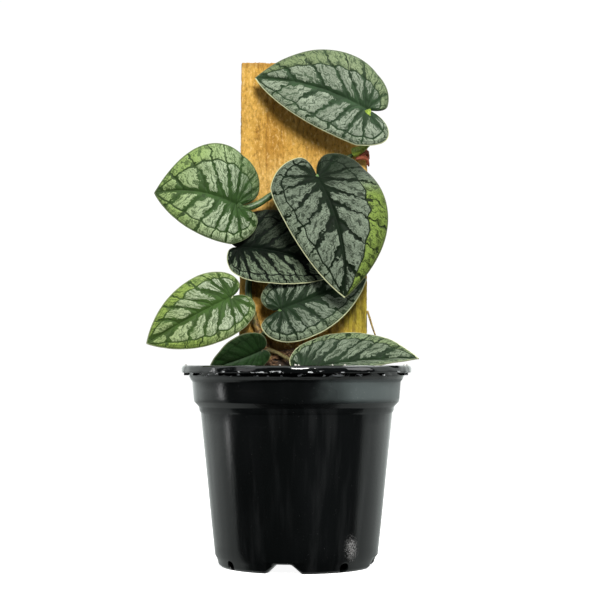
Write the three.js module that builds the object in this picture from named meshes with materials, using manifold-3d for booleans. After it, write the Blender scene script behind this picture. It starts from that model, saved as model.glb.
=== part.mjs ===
// Potted monstera: a shingling climber on a rough-sawn plank in a nursery pot.
// Millimetres, +Z up, the plant's best side towards -Y. The sizes below are taken
// from the pot's axis at the height of its foot. At the end the group is moved so
// that the origin is the middle of the plant's footprint.
import * as THREE from "three";
import { mergeVertices } from "three/addons/utils/BufferGeometryUtils.js";
import Module from "manifold-3d";

const wasm = await Module();
wasm.setup();

// The pot: 120 mm across the rim, 104 mm tall, a 0.9 mm moulded wall.
const POT_SIDES = 72;
const POT_FLOOR = 5.0;
const POT_WALL = 0.9;
const POT_OUTSIDE = [
  [0, 5.0], [34.5, 5.0], [35.8, 0], [39.2, 0], [40.6, 1.2], [41.4, 4.2], [42.4, 6.0],
  [49.9, 79.5], [50.6, 80.6], [50.9, 82.6], [53.3, 85.2], [53.6, 87.0], [54.4, 95.6],
  [55.2, 96.6], [56.2, 98.5], [56.4, 103.1], [59.1, 103.1], [59.1, 100.2], [60, 100.2],
  [60, 103.3], [59.3, 104],
];
const POT_INSIDE = [
  [56, 104], [55.4, 103.4], [55.2, 98.8], [53.5, 96], [52.6, 87], [52.3, 85.7], [50.0, 83.2],
  [49.7, 81.0], [48.9, 79.5], [41.5, 6.6], [40.5, 4.8], [39.8, 1.8], [39.0, 0.9], [36.5, 0.9],
  [35.3, 5.9], [0, 5.9],
];
const ARCH_ANGLE = THREE.MathUtils.degToRad(-9.3);
const ARCH_FLAT = THREE.MathUtils.degToRad(5.3);
const ARCH_FOOT = THREE.MathUtils.degToRad(13.7);
const HOLE = { radius: 2.6, length: 7, ring: 40.6, z: 2.6 };
const LUG = { count: 16, turn: 3.7, width: 1.0, reach: 2.4, height: 4.4, z: 100.8, ring: 57.5 };

// The potting mix: a low mound with a heap against the plank.
const MIX_PROFILE = [
  [0, 6.4], [40.8, 6.4], [41.2, 7.4], [48.5, 79.2], [49.3, 81.4], [49.6, 83.6], [51.9, 86.2],
  [52.2, 87.4], [52.8, 93.4], [51.5, 95.0], [47, 95.6], [40, 95.9], [33, 96.6], [26, 97.6],
  [20, 99.2], [14, 101.4], [8, 103.4], [0, 104],
];
const MIX_SIDES = 40;
const HEAP = { x: -5, y: -1, rise: 8, alongX: 10, alongY: 5 };
const GAP = 0.35;

// The plank stands in the mix and leans a little towards +X.
const PLANK = { width: 67, depth: 12, length: 255.2, chamfer: 0.9, x: 3.1, y: 8, foot: 8, lean: 0.35 };

// The stem climbs the front of the plank.
const STEM_RADIUS = 1.9;
const STEM_PATH = [
  [-9, -1.0, 84], [-11, -1.2, 98], [-14.5, -0.6, 110], [-20.5, -0.4, 124], [-25.2, -0.4, 144],
  [-19.5, -0.4, 166], [-6.5, -0.4, 184], [3.5, -0.5, 197], [17, -0.5, 207], [31, -1.0, 215.5],
];

// Blades. joint and tip are the two ends of the midrib. Each half is given by its
// widest reach, where that is along the midrib, how far its lobe hangs behind the
// joint, and how far out the lobe's lowest point is. via lists the places a winding
// stalk passes through between the stem and the joint.
const BLADE_THICKNESS = 0.6;
const LEAVES = {
  top: {
    joint: [36.4, -13, 236.9], tip: [-21.7, -7, 254.1], roll: 0, fold: 8,
    right: [22.6, 13, 9.6, 5], left: [20.6, 12, 14.4, 10.5], bow: 4, sweep: 3.6, curl: 3,
    green: 0x6f8f6a, node: 216, from: [3, -5, 6],
    via: [[34.6, -4.6, 217.6], [38, -6.5, 221.2], [39.4, -9.5, 228]],
  },
  upper_left: {
    joint: [-31, -16, 187], tip: [-73.2, -18, 192.6], roll: 0, fold: 6,
    right: [27.5, 8.2, 10.6, 9.5], left: [22.2, 9.2, 12, 7], bow: 3.5, sweep: 3.5, curl: 3,
    green: 0x93ad6c, node: 199, from: [-15, -3, -10],
    via: [[-3, -5, 197.6], [-12.6, -8.5, 192.8], [-20.5, -10, 187.6], [-26.5, -11.3, 185.8]],
  },
  centre: {
    joint: [10.7, -21, 200.4], tip: [24.7, -25, 138.3], roll: 4, fold: 5,
    right: [26, 8, 13, 7], left: [28.7, 14, 12, 9], bow: 5, sweep: -4.4, curl: 5,
    green: 0x6c8a6f, node: 206, from: [0, -9, 4],
  },
  shaded: {
    joint: [-30.3, -8.5, 165.4], tip: [21.5, -11.5, 150.9], roll: 14, fold: 4,
    right: [18, 14, 4.4, 4], left: [22.5, 14, 9, 9], bow: 2, sweep: -3, curl: 1,
    green: 0x5c7a60, node: 160, from: [-6, -3, 2],
  },
  lower_centre: {
    joint: [-8, -12, 133.1], tip: [36.6, -6, 149], roll: 11, fold: 7,
    right: [19.3, 7, 12.3, 5], left: [17, 9, 7.6, 8], bow: 3, sweep: 0.5, curl: 2.5,
    green: 0x68886a, node: 119, from: [4, -6, 3],
  },
  lower_left: {
    joint: [-33.7, -16, 139.2], tip: [-76.4, -24, 115], roll: 0, fold: 8,
    right: [17.6, 11, 7.7, 5], left: [18.4, 10.5, 9.6, 8], bow: 3.5, sweep: 0.6, curl: 3,
    green: 0x86a563, node: 131, from: [-4, -7, 1],
  },
  front_right: {
    joint: [3.3, -22, 101.9], tip: [62.4, -25, 107.4], roll: 50, fold: 34,
    right: [17, 19, 7, 5], left: [16.6, 20, 8, 6.5], bow: 1, sweep: -1, curl: 2,
    green: 0x6d8b62, node: 112, from: [4, -5, 0],
  },
  base_left: {
    joint: [-18.3, -14, 111.5], tip: [-45.2, -22, 101.9], roll: 25, fold: 14,
    right: [14, 9, 4, 4], left: [9, 8, 4.5, 4], bow: 1.5, sweep: 0, curl: 1,
    green: 0x3f6148, node: 109, from: [-3, -6, 2],
  },
};
const BLADE_ROWS = 16;
const BLADE_COLUMNS = 4;
const FAN = 0.34;
const PETIOLE_RADIUS = { top: 1.5, base_left: 1.1, front_right: 1.3, default: 1.4 };

// Aerial roots: thin tubes that hold the plank, hang from the stem or lie on the mix.
const ROOTS = {
  root_edge_high: [0.7, [[33.6, -2.6, 213.4], [36, -1.2, 215.8], [38.6, 0.2, 216.2], [39.9, 2.6, 215.4]]],
  root_edge_low: [0.7, [[31.2, -3.4, 212.2], [34, -3.2, 210.6], [37.4, -1.2, 210.8], [39.8, 1.6, 212.2]]],
  root_hanging: [0.55, [[37.6, 0.6, 147], [38.6, -1.2, 138], [39.8, -1.6, 128], [42, -2.2, 117.5]]],
  root_waist: [0.7, [[-27.6, -0.9, 150], [-29.2, -0.8, 154], [-31.4, -0.2, 158], [-32.6, 1.4, 161]]],
  root_low_left: [0.9, [[-21.8, -3.4, 121], [-22.4, -4.6, 117], [-21.4, -5.2, 112.6], [-20.6, -4.4, 107.4]]],
  root_low_right: [0.8, [[-14.4, -0.4, 119.8], [-9.6, -0.6, 119.2], [-5.2, -0.5, 116], [-2.4, -0.6, 113.4]]],
};

const GREEN_STEM = 0x5f7d45;
const ROOT_BROWN = 0x7a5232;

const vector = (values) => new THREE.Vector3(...values);

// Shared vertices joined, and triangles that have shrunk to nothing left out.
function weld(geometry) {
  geometry.deleteAttribute("normal");
  geometry.deleteAttribute("uv");
  const merged = mergeVertices(geometry, 1e-4);
  const source = Array.from(merged.index.array);
  const kept = [];
  for (let i = 0; i < source.length; i += 3) {
    const [a, b, c] = source.slice(i, i + 3);
    if (a !== b && b !== c && c !== a) kept.push(a, b, c);
  }
  merged.setIndex(kept);
  return merged;
}

function toSolid(geometry) {
  const welded = weld(geometry);
  return new wasm.Manifold(new wasm.Mesh({
    numProp: 3,
    vertProperties: new Float32Array(welded.attributes.position.array),
    triVerts: new Uint32Array(welded.index.array),
  }));
}

function fromSolid(solid) {
  const mesh = solid.getMesh();
  const geometry = new THREE.BufferGeometry();
  geometry.setAttribute("position", new THREE.BufferAttribute(mesh.vertProperties, 3));
  geometry.setIndex(new THREE.BufferAttribute(mesh.triVerts, 1));
  return geometry;
}

function named(name, geometry, color, roughness) {
  geometry.computeVertexNormals();
  const material = new THREE.MeshStandardMaterial({ color, roughness, metalness: 0 });
  const mesh = new THREE.Mesh(geometry, material);
  mesh.name = name;
  return mesh;
}

function turned(profile, sides, start = 0) {
  const points = profile.map(([r, z]) => new THREE.Vector2(r, z));
  const geometry = new THREE.LatheGeometry(points, sides, start, 2 * Math.PI);
  return geometry.rotateX(Math.PI / 2);
}

function tube(path, radius, sides, steps) {
  const section = new THREE.Shape();
  for (let i = 0; i < sides; i += 1) {
    const angle = (2 * Math.PI * i) / sides;
    const x = radius * Math.cos(angle);
    const y = radius * Math.sin(angle);
    if (i === 0) section.moveTo(x, y);
    else section.lineTo(x, y);
  }
  section.closePath();
  return new THREE.ExtrudeGeometry(section, { steps, extrudePath: path, bevelEnabled: false });
}

const through = (points) => new THREE.CatmullRomCurve3(points.map(vector), false, "centripetal");

// How far the foot ring is lifted at this angle round the pot: 1 over an arch, 0 elsewhere.
function archLift(angle) {
  const quarter = Math.PI / 2;
  const off = Math.abs(angle - ARCH_ANGLE - quarter * Math.round((angle - ARCH_ANGLE) / quarter));
  return THREE.MathUtils.clamp((ARCH_FOOT - off) / (ARCH_FOOT - ARCH_FLAT), 0, 1);
}

function liftArches(geometry, rows) {
  const position = geometry.attributes.position;
  for (let i = 0; i < position.count; i += 1) {
    const target = i % rows < POT_OUTSIDE.length ? POT_FLOOR : POT_FLOOR + POT_WALL;
    const z = position.getZ(i);
    const lift = archLift(Math.atan2(position.getX(i), -position.getY(i)));
    if (z < target) position.setZ(i, z + lift * (target - z));
  }
}

function potCutters() {
  return [0.5, 1.5, 2.5, 3.5].map((quarter) => {
    const angle = ARCH_ANGLE + quarter * Math.PI / 2;
    const cutter = new THREE.CylinderGeometry(HOLE.radius, HOLE.radius, HOLE.length, 14);
    cutter.rotateX(Math.PI / 4);
    cutter.translate(0, -HOLE.ring, HOLE.z);
    return toSolid(cutter.rotateZ(angle));
  });
}

function potLugs() {
  return Array.from({ length: LUG.count }, (_, i) => {
    const lug = new THREE.BoxGeometry(LUG.width, LUG.reach, LUG.height);
    lug.translate(0, -LUG.ring, LUG.z);
    const turn = LUG.turn + (360 * i) / LUG.count;
    return toSolid(lug.rotateZ(THREE.MathUtils.degToRad(turn)));
  });
}

function pot() {
  const profile = [...POT_OUTSIDE, ...POT_INSIDE];
  const geometry = turned(profile, POT_SIDES, ARCH_ANGLE);
  liftArches(geometry, profile.length);
  let body = toSolid(geometry);
  for (const lug of potLugs()) body = body.add(lug);
  for (const cutter of potCutters()) body = body.subtract(cutter);
  return fromSolid(body);
}

function plank(grow) {
  const { width, depth, length, chamfer } = PLANK;
  const x = width / 2 + grow;
  const y = depth / 2 + grow;
  const section = new THREE.Shape();
  section.moveTo(-x + chamfer, -y);
  section.lineTo(x - chamfer, -y);
  section.lineTo(x, -y + chamfer);
  section.lineTo(x, y - chamfer);
  section.lineTo(x - chamfer, y);
  section.lineTo(-x + chamfer, y);
  section.lineTo(-x, y - chamfer);
  section.lineTo(-x, -y + chamfer);
  section.closePath();
  const geometry = new THREE.ExtrudeGeometry(section, { depth: length + 2 * grow, bevelEnabled: false });
  geometry.translate(0, 0, -grow);
  geometry.rotateY(THREE.MathUtils.degToRad(PLANK.lean));
  return geometry.translate(PLANK.x, PLANK.y, PLANK.foot);
}

function heapRise(x, y) {
  const across = ((x - HEAP.x) / HEAP.alongX) ** 2;
  const deep = ((y - HEAP.y) / HEAP.alongY) ** 2;
  return HEAP.rise * Math.exp(-0.5 * (across + deep));
}

function mix() {
  const geometry = turned(MIX_PROFILE, MIX_SIDES);
  const position = geometry.attributes.position;
  for (let i = 0; i < position.count; i += 1) {
    const z = position.getZ(i);
    if (z > 94) position.setZ(i, z + heapRise(position.getX(i), position.getY(i)));
  }
  const pocket = toSolid(tube(through(STEM_PATH), STEM_RADIUS + GAP, 8, 40));
  const end = new THREE.SphereGeometry(STEM_RADIUS + 2 * GAP, 10, 8).translate(...STEM_PATH[0]);
  const room = toSolid(plank(GAP)).add(pocket).add(toSolid(end));
  return fromSolid(toSolid(geometry).subtract(room));
}

// Half of a blade's edge from the joint, round the lobe, to the tip, all on +X.
function halfEdge(length, [reach, at, lobe, crest]) {
  const point = (x, y) => new THREE.Vector2(x, y);
  const rest = length - at;
  const edge = new THREE.CurvePath();
  edge.add(new THREE.CubicBezierCurve(
    point(0, 0), point(0.08 * crest, -0.55 * lobe), point(0.45 * crest, -lobe), point(crest, -lobe),
  ));
  edge.add(new THREE.CubicBezierCurve(
    point(crest, -lobe), point(crest + 0.6 * (reach - crest), -lobe),
    point(reach, at - 0.5 * (at + lobe)), point(reach, at),
  ));
  edge.add(new THREE.CubicBezierCurve(
    point(reach, at), point(reach, at + 0.5 * rest), point(0.42 * reach, at + 0.84 * rest), point(0, length),
  ));
  return edge;
}

// The blade's skin at row t (0 joint, 1 tip) and column s (0 midrib, 1 edge).
// A row runs out from the midrib like a side vein and bends towards the tip.
function flatPoint(edge, length, t, s) {
  const outer = edge.getPointAt(t);
  const start = length * Math.max(0, (t - FAN) / (1 - FAN)) ** 1.7;
  const bend = new THREE.Vector2(0.55 * outer.x, start + 0.35 * (outer.y - start));
  const one = new THREE.Vector2(0, start).multiplyScalar((1 - s) ** 2);
  const two = bend.multiplyScalar(2 * s * (1 - s));
  return one.add(two).add(outer.multiplyScalar(s * s));
}

// The flat blade bent: folded along the midrib, its edge curled back, its tip drooping.
function bentPoint(leaf, length, side, flat) {
  const reach = (side > 0 ? leaf.right : leaf.left)[0];
  const fold = THREE.MathUtils.degToRad(leaf.fold);
  const arc = 4 * (flat.y / length) * (1 - flat.y / length);
  const x = side * flat.x * Math.cos(fold) + leaf.sweep * Math.max(0, arc);
  const z = flat.x * Math.sin(fold) - leaf.curl * (flat.x / reach) ** 2 + leaf.bow * arc;
  return new THREE.Vector3(x, flat.y, z);
}

function bladeFrame(leaf) {
  const along = vector(leaf.tip).sub(vector(leaf.joint)).normalize();
  const face = new THREE.Vector3(0, -1, 0).addScaledVector(along, along.y).normalize();
  const across = new THREE.Vector3().crossVectors(along, face);
  face.applyAxisAngle(along, -THREE.MathUtils.degToRad(leaf.roll));
  across.applyAxisAngle(along, -THREE.MathUtils.degToRad(leaf.roll));
  return new THREE.Matrix4().makeBasis(across, along, face).setPosition(...leaf.joint);
}

function bladeHalf(leaf, length, side, put) {
  const edge = halfEdge(length, side > 0 ? leaf.right : leaf.left);
  const at = (i, j, lift) => {
    const point = bentPoint(leaf, length, side, flatPoint(edge, length, i / BLADE_ROWS, j / BLADE_COLUMNS));
    return point.setZ(point.z + lift);
  };
  const quad = (a, b, c, d) => (side > 0 ? put(a, b, c, d) : put(d, c, b, a));
  const up = BLADE_THICKNESS / 2;
  for (let i = 0; i < BLADE_ROWS; i += 1) {
    for (let j = 0; j < BLADE_COLUMNS; j += 1) {
      quad(at(i, j, up), at(i, j + 1, up), at(i + 1, j + 1, up), at(i + 1, j, up));
      quad(at(i + 1, j, -up), at(i + 1, j + 1, -up), at(i, j + 1, -up), at(i, j, -up));
    }
    const n = BLADE_COLUMNS;
    quad(at(i, n, up), at(i, n, -up), at(i + 1, n, -up), at(i + 1, n, up));
  }
}

function blade(leaf) {
  const length = vector(leaf.tip).distanceTo(vector(leaf.joint));
  const positions = [];
  const put = (a, b, c, d) => [a, b, c, a, c, d].forEach((p) => positions.push(p.x, p.y, p.z));
  bladeHalf(leaf, length, 1, put);
  bladeHalf(leaf, length, -1, put);
  const geometry = new THREE.BufferGeometry();
  geometry.setAttribute("position", new THREE.Float32BufferAttribute(positions, 3));
  return weld(geometry).applyMatrix4(bladeFrame(leaf));
}

// A point on the stem's skin at the given height, on the side that a direction leaves it.
function stemSkin(height, direction, clearance) {
  const stem = through(STEM_PATH);
  const steps = 400;
  const points = stem.getSpacedPoints(steps);
  const nearest = points.reduce((best, point, i) => (
    Math.abs(point.z - height) < Math.abs(points[best].z - height) ? i : best
  ), 0);
  const tangent = stem.getTangentAt(nearest / steps);
  const outwards = direction.clone().addScaledVector(tangent, -direction.dot(tangent)).normalize();
  return points[nearest].addScaledVector(outwards, STEM_RADIUS + clearance);
}

// A leaf stalk from the stem to just behind the blade's joint.
function petiole(leaf, radius) {
  const face = new THREE.Vector3().setFromMatrixColumn(bladeFrame(leaf), 2);
  const from = vector(leaf.from);
  const start = stemSkin(leaf.node, from, radius + GAP);
  const end = vector(leaf.joint).addScaledVector(face, -(BLADE_THICKNESS / 2 + radius + GAP));
  const knee = start.clone().add(from).lerp(end, 0.25);
  const bow = new THREE.QuadraticBezierCurve3(start, knee, end);
  return leaf.via ? tube(through([start, ...leaf.via, end]), radius, 7, 14) : tube(bow, radius, 7, 7);
}

const group = new THREE.Group();
group.add(named("nursery_pot", pot(), 0x0d0e10, 0.25));
group.add(named("potting_mix", mix(), 0x3a2a1c, 0.95));
group.add(named("wood_plank", weld(plank(0)), 0xd9a24a, 0.8));
group.add(named("climbing_stem", weld(tube(through(STEM_PATH), STEM_RADIUS, 8, 40)), GREEN_STEM, 0.5));
for (const [name, leaf] of Object.entries(LEAVES)) {
  const radius = PETIOLE_RADIUS[name] ?? PETIOLE_RADIUS.default;
  group.add(named(`leaf_${name}`, blade(leaf), leaf.green, 0.45));
  group.add(named(`petiole_${name}`, weld(petiole(leaf, radius)), GREEN_STEM, 0.5));
}
for (const [name, [radius, path]] of Object.entries(ROOTS)) {
  group.add(named(name, weld(tube(through(path), radius, 6, 8)), ROOT_BROWN, 0.8));
}

const box = new THREE.Box3().setFromObject(group);
const middle = box.getCenter(new THREE.Vector3());
group.position.set(-middle.x, -middle.y, -box.min.z);

export default group;
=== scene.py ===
"""A potted monstera: silver-patterned leaves climbing a rough-sawn plank in a black nursery pot.

Lengths in the tables below are in millimetres from the pot's axis and foot.
"""
import math
import random

import bmesh
import bpy
import numpy as np
from bpy.props import FloatProperty, FloatVectorProperty, IntProperty, PointerProperty
from mathutils import Matrix, Vector, noise


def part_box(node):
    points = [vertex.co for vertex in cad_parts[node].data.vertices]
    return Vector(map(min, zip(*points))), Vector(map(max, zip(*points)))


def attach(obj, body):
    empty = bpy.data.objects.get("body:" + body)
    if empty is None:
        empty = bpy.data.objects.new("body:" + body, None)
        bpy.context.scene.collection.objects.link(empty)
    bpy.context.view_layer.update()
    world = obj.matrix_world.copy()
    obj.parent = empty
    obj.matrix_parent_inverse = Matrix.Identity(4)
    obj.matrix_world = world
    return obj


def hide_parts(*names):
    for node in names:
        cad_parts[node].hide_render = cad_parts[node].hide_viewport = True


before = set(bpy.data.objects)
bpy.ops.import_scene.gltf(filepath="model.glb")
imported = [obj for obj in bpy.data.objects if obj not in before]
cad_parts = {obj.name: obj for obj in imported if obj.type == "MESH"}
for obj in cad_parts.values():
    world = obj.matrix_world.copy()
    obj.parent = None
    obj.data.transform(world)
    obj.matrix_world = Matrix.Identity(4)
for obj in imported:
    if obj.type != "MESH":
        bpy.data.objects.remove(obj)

bl_info = {
    "name": "Potted monstera",
    "version": (1, 0, 0),
    "blender": (4, 5, 0),
    "location": "3D View > Sidebar > Monstera",
    "description": "Builds a climbing monstera on a plank in a nursery pot",
    "category": "Add Mesh",
}

MM = 0.001
POT_LOW, POT_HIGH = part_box("nursery_pot")
AXIS = Vector(((POT_LOW.x + POT_HIGH.x) / 2, (POT_LOW.y + POT_HIGH.y) / 2, POT_LOW.z))

# Pot profile (radius, height), round the outside from the floor's underside and down the inside.
POT_OUTSIDE = [
    (34.5, 5.0), (35.8, 0), (39.2, 0), (40.6, 1.2), (41.4, 4.2), (42.4, 6.0), (44.2, 23),
    (46.1, 42), (48.1, 62), (49.9, 79.5), (50.6, 80.6), (50.9, 82.6), (53.3, 85.2),
    (53.6, 87.0), (54.4, 95.6), (55.2, 96.6), (56.2, 98.5), (56.4, 103.1), (59.1, 103.1),
    (59.1, 100.2), (59.6, 100.2), (60, 100.7), (60, 102.5), (59.6, 103.5), (58.8, 104),
]
POT_INSIDE = [
    (56, 104), (55.4, 103.4), (55.2, 98.8), (53.5, 96), (52.6, 87), (52.3, 85.7),
    (50.0, 83.2), (49.7, 81.0), (48.9, 79.5), (45.2, 42), (41.5, 6.6), (40.5, 4.8),
    (39.8, 1.8), (39.0, 0.9), (36.5, 0.9), (35.3, 5.9),
]
POT_SIDES = 240
POT_FLOOR = 5.0
POT_WALL = 0.9
FOOT_IN, FOOT_OUT = 34, 41
# The four arches: the middle of the first, the half width of their flat tops and of their feet.
ARCH_ANGLE = math.radians(-9.3)
ARCH_FLAT = math.radians(5.3)
ARCH_FOOT = math.radians(13.7)
LUG_SIZE = (1.0, 2.6, 4.3)
LUG_START = math.radians(3.7)
LUG_RADIUS, LUG_HEIGHT = 57.5, 101
DRAIN_RADIUS, DRAIN_HEIGHT, DRAIN_DEPTH = 40.6, 2.6, 7

STEM_RADIUS = 1.86
STEM_PATH = [
    (-9, -1.0, 84), (-11, -1.2, 98), (-14.5, -0.6, 110), (-20.5, -0.4, 124), (-25.2, -0.4, 144),
    (-19.5, -0.4, 166), (-6.5, -0.4, 184), (3.5, -0.5, 197), (17, -0.5, 207), (31, -1.0, 215.5),
]

# Blades: joint and tip end the midrib. A half is its widest reach, where that is along the
# midrib, how far its lobe hangs behind the joint and how far out the lobe's lowest point is.
# Roll and fold are in degrees; bow, sweep and curl bend the blade. Node is where its stalk leaves
# the stem, leave the way it leaves, and via the points it passes. The rest is edge, pattern and
# painted light and shade, and a pair there is for the right half and the left one: the tint of the
# outer strip and of the tip is painted light shining through the blade, and dim is painted shade.
LEAVES = {
    "top": dict(
        joint=(36.4, -13, 236.9), tip=(-21.7, -7, 254.1), fold=8,
        right=(22.6, 13, 9.6, 5), left=(20.6, 12, 14.4, 10.5), bow=4, sweep=3.6, curl=3,
        node=216, leave=(3, -5, 6), stalk=1.5, swell=1.5,
        via=[(34.6, -4.6, 217.6), (38.0, -6.5, 221.2), (39.4, -9.5, 228)],
        style="silver", seed=3, edge_roll=(2.5, 1.0), ring=(0.64, 0.78), tint=(0.75, 0.15),
        tip_light_through=0.15, margin=(0.15, 1.0), bloom=(0.86, 0.94),
    ),
    "upper_left": dict(
        joint=(-31.0, -16, 187.0), tip=(-73.2, -18, 192.6), fold=6,
        right=(27.5, 8.2, 10.6, 9.5), left=(22.2, 9.2, 12, 7), bow=3.5, sweep=3.5, curl=3,
        node=199, leave=(-15, -3, -10), swell=1.5,
        via=[(-3, -5, 197.6), (-12.6, -8.5, 192.8), (-20.5, -10, 187.6), (-26.5, -11.3, 185.8)],
        style="fresh", seed=11, edge_roll=(1.5, 1.0), ring=(0.68, 0.74), tint=(0.5, 0.35),
        tip_light_through=0.85, margin=(0.1, 0.15), dim=(0.55, 0),
    ),
    "centre": dict(
        joint=(10.7, -21, 200.4), tip=(24.7, -25, 138.3), roll=4, fold=5,
        right=(26, 8, 13, 7), left=(28.7, 14, 12, 9), bow=5, sweep=-4.4, curl=5,
        node=206, leave=(0, -9, 4),
        style="grey", seed=23, edge_roll=(1.0, 5.0), ring=(0.76, 0.66), tint=(0.05, 1.0),
        light_through_from=4.0, margin=(1.0, 0.2), dim=(0.2, 0.85), bloom=(0.88, 0.86), depth=0.4,
    ),
    # Painted shade: the dark style and the faint patches on the upper half darken this blade, which
    # stands in shade behind the centre blade.
    "shaded": dict(
        joint=(-30.3, -8.5, 165.4), tip=(21.5, -11.5, 150.9), roll=14, fold=4,
        right=(18, 14, 4.4, 4), left=(22.5, 14, 9, 9), bow=2, sweep=-3, curl=1,
        node=160, leave=(-6, -3, 2),
        style="dark", seed=31, edge_roll=(0.8, 0.8), ring=(0.78, 0.76), tint=(0, 0),
        margin=(1.0, 0.1), bloom=(0.84, 0.15), depth=0.3,
    ),
    "lower_centre": dict(
        joint=(-8, -12, 133.1), tip=(36.6, -6, 149), roll=11, fold=7,
        right=(19.3, 7, 12.3, 5), left=(17, 9, 7.6, 8), bow=3, sweep=0.5, curl=2.5,
        node=119, leave=(4, -6, 3),
        style="grey", seed=47, edge_roll=(1.2, 1.0), tint=(0.15, 0.2),
        margin=(1.0, 0.3), dim=(0, 0.1), bloom=(1, 0.95),
    ),
    "lower_left": dict(
        joint=(-33.7, -16, 139.2), tip=(-76.4, -24, 115), fold=8,
        right=(17.6, 11, 7.7, 5), left=(18.4, 10.5, 9.6, 8), bow=3.5, sweep=0.6, curl=3,
        node=131, leave=(-4, -7, 1),
        style="flecked", seed=59, edge_roll=(1.5, 1.2), ring=(0.74, 0.76), tint=(0.8, 0.6),
        tip_light_through=0.7, margin=(0.3, 0.4), bloom=(0.77, 0.82),
    ),
    "front_right": dict(
        joint=(3.3, -22, 101.9), tip=(62.4, -25, 107.4), roll=50, fold=34,
        right=(17, 19, 7, 5), left=(18.4, 18, 6.5, 5), bow=1, sweep=-1, curl=2,
        node=112, leave=(4, -5, 0), stalk=1.3,
        style="grey", seed=67, edge_roll=(0.5, 0.8), tint=(0.2, 0.35),
        tip_light_through=0.1, margin=(0.4, 1.0),
    ),
    # Painted shade: the deep style darkens this blade, which stands in shade under the lower left
    # blade.
    "base_left": dict(
        joint=(-18.3, -14, 111.5), tip=(-45.2, -22, 101.9), roll=25, fold=14,
        right=(14, 9, 4, 4), left=(9, 8, 4.5, 4), bow=1.5, curl=1,
        node=109, leave=(-3, -6, 2), stalk=1.1, smooth=0.3,
        style="deep", seed=71, edge_roll=(0.5, 0.5), tint=(0.2, 0.2),
        margin=(0.2, 0.1), bloom=(0.1, 0.5),
    ),
}
# What a leaf has unless its own entry says otherwise.
PLAIN_LEAF = dict(
    roll=0, sweep=0, stalk=1.4, swell=1.0, via=(), smooth=1.0, ring=(0.76, 0.76),
    light_through_from=-40.0, tip_light_through=0.0, dim=(0, 0), bloom=(1, 1), depth=1.0,
)
LEAVES = {name: {**PLAIN_LEAF, **leaf} for name, leaf in LEAVES.items()}

# Share of a half's margin that is reached by veins from the joint itself.
FAN = 0.34
ROWS_ACROSS, ROWS_ALONG = 76, 210
ROW_START = (0.35, 0.1)
VEIN_WIDTH, RING_WIDTH, MIDRIB_WIDTH = 0.95, 0.6, 0.9

# Blade colours, linear: the green of the veins, the silver patches and the tint of the edge,
# which is painted light shining through the blade. The dark and deep styles are darkened as
# painted shade, for blades that stand in shade.
STYLES = {
    "silver": dict(
        dark=(0.022, 0.045, 0.020), pale=(0.32, 0.38, 0.29), edge=(0.19, 0.255, 0.108),
        slot="blade_silver"),
    "grey": dict(
        dark=(0.010, 0.023, 0.009), pale=(0.205, 0.255, 0.187), edge=(0.20, 0.29, 0.062),
        slot="blade_silver"),
    "dark": dict(
        dark=(0.005, 0.014, 0.006), pale=(0.20, 0.26, 0.17), edge=(0.10, 0.16, 0.08),
        slot="blade_dark"),
    "fresh": dict(
        dark=(0.024, 0.056, 0.013), pale=(0.41, 0.50, 0.34), edge=(0.26, 0.37, 0.12),
        slot="blade_yellow_green"),
    "flecked": dict(
        dark=(0.028, 0.062, 0.012), pale=(0.48, 0.56, 0.40), edge=(0.27, 0.38, 0.085),
        slot="blade_yellow_green"),
    "deep": dict(
        dark=(0.008, 0.024, 0.006), pale=(0.12, 0.18, 0.10), edge=(0.06, 0.11, 0.02),
        slot="blade_dark"),
}
CREAM_MARGIN = (0.56, 0.60, 0.36)

# Aerial roots: the thickness and the path of each.
ROOTS = {
    "root_edge_high": (0.75, [
        (33.6, -2.6, 213.4), (35.2, -2.6, 215.4), (36.6, -2.1, 216.4), (37.5, -1.2, 216.2),
        (37.9, 0.4, 214.6)]),
    "root_edge_low": (0.75, [
        (31.2, -3.4, 212.2), (33.6, -3.4, 212.8), (35.8, -2.8, 213.4), (37.3, -1.8, 212.6),
        (37.8, 0.0, 210.6)]),
    "root_hanging": (0.5, [
        (37.2, 1.0, 132.5), (38.3, -0.6, 129), (39.9, -1.5, 123.5), (42.2, -2.2, 117)]),
    "root_waist": (0.7, [
        (-27.6, -0.9, 150), (-29.2, -0.8, 154), (-31.4, -0.2, 158), (-32.6, 1.4, 161)]),
    "root_low_left": (0.9, [
        (-21.8, -3.4, 121), (-22.4, -4.6, 117), (-21.4, -5.2, 112.6), (-20.6, -4.4, 107.4)]),
    "root_low_right": (0.8, [
        (-14.4, -0.4, 119.8), (-9.6, -0.6, 119.2), (-5.2, -0.5, 116), (-2.4, -0.6, 113.4)]),
}
# How far the ends of a root's strands stray from its path.
SINGLE = ((0, 0, 0),)
CLUMP = ((0, 0, 0), (0.2, 0.1, -1.8), (-0.7, -0.5, -1.2))
ROOT_STEPS = 26

# Lights: place from the middle of the plant and size, in metres, then power and colour.
LIGHTS = {
    "key": ((0.16, -1.10, 0.66), (0.38, 0.38), 22.5, (1, 0.985, 0.95)),
    "fill": ((-0.95, -0.75, 0.25), (0.6, 0.8), 2.2, (1, 1, 1)),
    "side": ((0.95, -0.45, 0.35), (0.4, 0.6), 3.0, (1, 1, 1)),
    "strip": ((-0.80, 0.02, 0.04), (0.05, 0.5), 0.45, (1, 1, 1)),
    "back": ((0.1, 0.7, 0.9), (0.8, 0.5), 5, (1, 1, 1)),
}
MIDDLE_HEIGHT = 130
CAMERA_SIDE, CAMERA_HEIGHT = 1.84, 104


# ---------------------------------------------------------------- settings

class BladeSettings(bpy.types.PropertyGroup):
    """Sizes that all the blades share."""
    thickness: FloatProperty(
        name="Thickness", description="Blade thickness", default=0.5 * MM, subtype="DISTANCE")
    relief: FloatProperty(
        name="Relief", description="Depth of the sunken veins", default=0.55 * MM, subtype="DISTANCE")
    veins: IntProperty(
        name="Side veins", description="Side veins in each half of a blade", default=9, min=4, max=16)


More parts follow.
